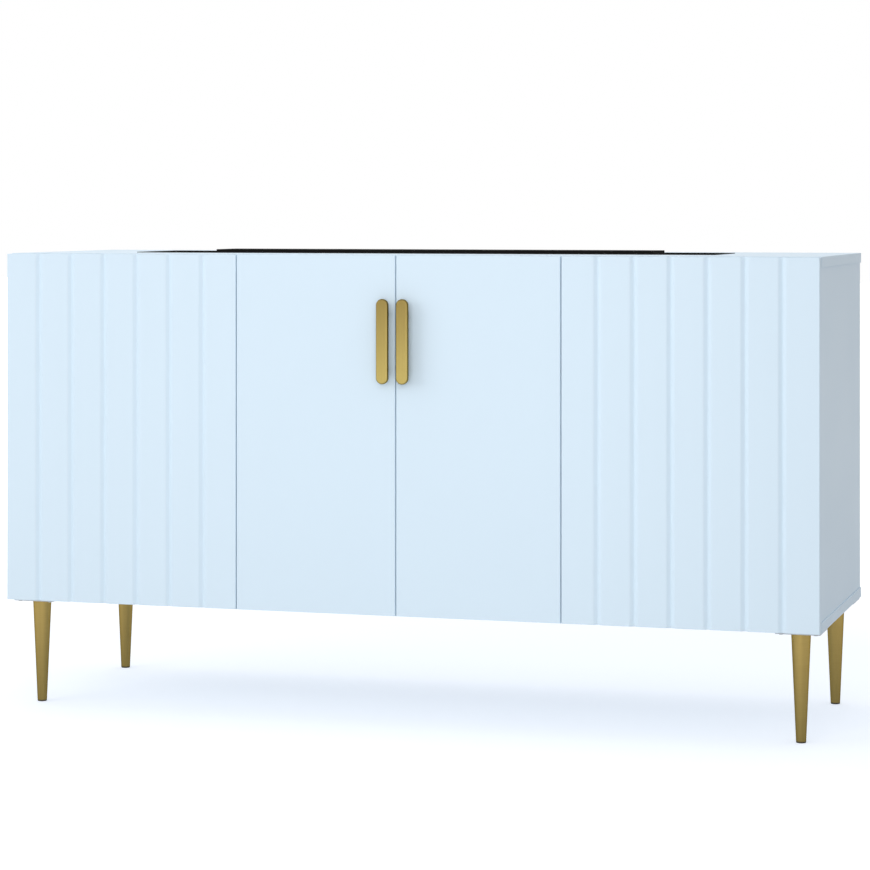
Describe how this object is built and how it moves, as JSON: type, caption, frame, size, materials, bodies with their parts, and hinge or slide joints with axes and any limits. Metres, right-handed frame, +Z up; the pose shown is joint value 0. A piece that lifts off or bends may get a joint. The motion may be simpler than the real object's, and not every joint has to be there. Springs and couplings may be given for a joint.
{
  "type": "fireplace tv stand",
  "caption": "Long lacquered cabinet on tapered legs with grooved and plain hinged doors, bar pulls and a slotted fuel burner set in its top.",
  "frame": {"origin": "on the floor, in the middle of the overall footprint, pulls included", "axes": "+X to the right seen from the front, +Y to the back, +Z up"},
  "size_m": [1.5, 0.521, 0.838],
  "materials": {
    "lacquer": "fibreboard with a smooth satin pale blue lacquer",
    "back_sheet": "thin fibreboard, pale blue lacquer on the rear",
    "brass": "satin brushed gold",
    "plate_steel": "pale grey powder coat",
    "fire_black": "matt black heat-resistant coat",
    "shield_steel": "plain galvanised sheet",
    "tank_steel": "brushed stainless sheet",
    "wool": "white ceramic fibre mat",
    "hinge_steel": "nickel plated",
    "screw_steel": "zinc plated",
    "dowel_wood": "plain beech",
    "dark_plastic": "moulded black",
    "pale_plastic": "moulded pale blue",
    "bumper_rubber": "soft pale pads"
  },
  "bodies": {
    "cabinet": {"top_panel": "lacquer", "bottom_panel": "lacquer", "side_panel_left": "lacquer", "side_panel_right": "lacquer", "partition_left": "lacquer", "partition_right": "lacquer", "shelf_left": "lacquer", "shelf_centre": "lacquer", "shelf_right": "lacquer", "back_panel": "back_sheet", "leg_front_left": "brass", "leg_front_right": "brass", "leg_back_left": "brass", "leg_back_right": "brass", "leg_plates": "plate_steel", "fire_casing": "fire_black", "burner_cap": "fire_black", "heat_shield": "shield_steel", "fuel_tank": "tank_steel", "slider_guides": "tank_steel", "burner_wool": "wool", "hinge_arms_outer": "hinge_steel", "hinge_arms_inner": "hinge_steel", "hinge_plates": "hinge_steel", "shelf_pins": "hinge_steel", "hinge_screws": "screw_steel", "leg_screws": "screw_steel", "case_screws": "screw_steel", "back_screws": "screw_steel", "shield_screws": "screw_steel", "cam_locks": "screw_steel", "cam_bolts": "screw_steel", "top_dowels": "dowel_wood", "leg_glides": "dark_plastic", "latch_housings": "dark_plastic", "magnetic_catches": "dark_plastic", "cable_outlets": "pale_plastic", "door_bumpers": "bumper_rubber"},
    "door_left_outer": {"door_left_outer": "lacquer", "hinge_cups_left_outer": "hinge_steel", "hinge_pins_left_outer": "hinge_steel"},
    "door_left_inner": {"door_left_inner": "lacquer", "hinge_cups_left_inner": "hinge_steel", "hinge_pins_left_inner": "hinge_steel", "pull_left": "brass", "pull_left_screws": "screw_steel", "strike_plate_left": "hinge_steel"},
    "door_right_inner": {"door_right_inner": "lacquer", "hinge_cups_right_inner": "hinge_steel", "hinge_pins_right_inner": "hinge_steel", "pull_right": "brass", "pull_right_screws": "screw_steel", "strike_plate_right": "hinge_steel"},
    "door_right_outer": {"door_right_outer": "lacquer", "hinge_cups_right_outer": "hinge_steel", "hinge_pins_right_outer": "hinge_steel"},
    "plunger_left": {"latch_plunger_left": "dark_plastic"},
    "plunger_right": {"latch_plunger_right": "dark_plastic"},
    "regulator": {"flame_regulator": "fire_black"}
  },
  "joints": [
    {"name": "left_outer_door_swing", "type": "hinge", "parent": "cabinet", "child": "door_left_outer", "pos_m": [-0.741, -0.2301, 0.513], "axis": [0, 0, -1], "range_deg": [0, 95]},
    {"name": "left_inner_door_swing", "type": "hinge", "parent": "cabinet", "child": "door_left_inner", "pos_m": [-0.29025, -0.2301, 0.513], "axis": [0, 0, -1], "range_deg": [0, 95]},
    {"name": "right_inner_door_swing", "type": "hinge", "parent": "cabinet", "child": "door_right_inner", "pos_m": [0.29025, -0.2301, 0.513], "axis": [0, 0, 1], "range_deg": [0, 95]},
    {"name": "right_outer_door_swing", "type": "hinge", "parent": "cabinet", "child": "door_right_outer", "pos_m": [0.741, -0.2301, 0.513], "axis": [0, 0, 1], "range_deg": [0, 95]},
    {"name": "left_latch_press", "type": "slide", "parent": "cabinet", "child": "plunger_left", "axis": [0, 1, 0], "range_m": [0, 0.0025], "stiffness_N_per_m": 300, "springref_m": -0.004},
    {"name": "right_latch_press", "type": "slide", "parent": "cabinet", "child": "plunger_right", "axis": [0, 1, 0], "range_m": [0, 0.0025], "stiffness_N_per_m": 300, "springref_m": -0.004},
    {"name": "flame_regulator_slide", "type": "slide", "parent": "cabinet", "child": "regulator", "axis": [1, 0, 0], "range_m": [0, 0.057]}
  ]
}
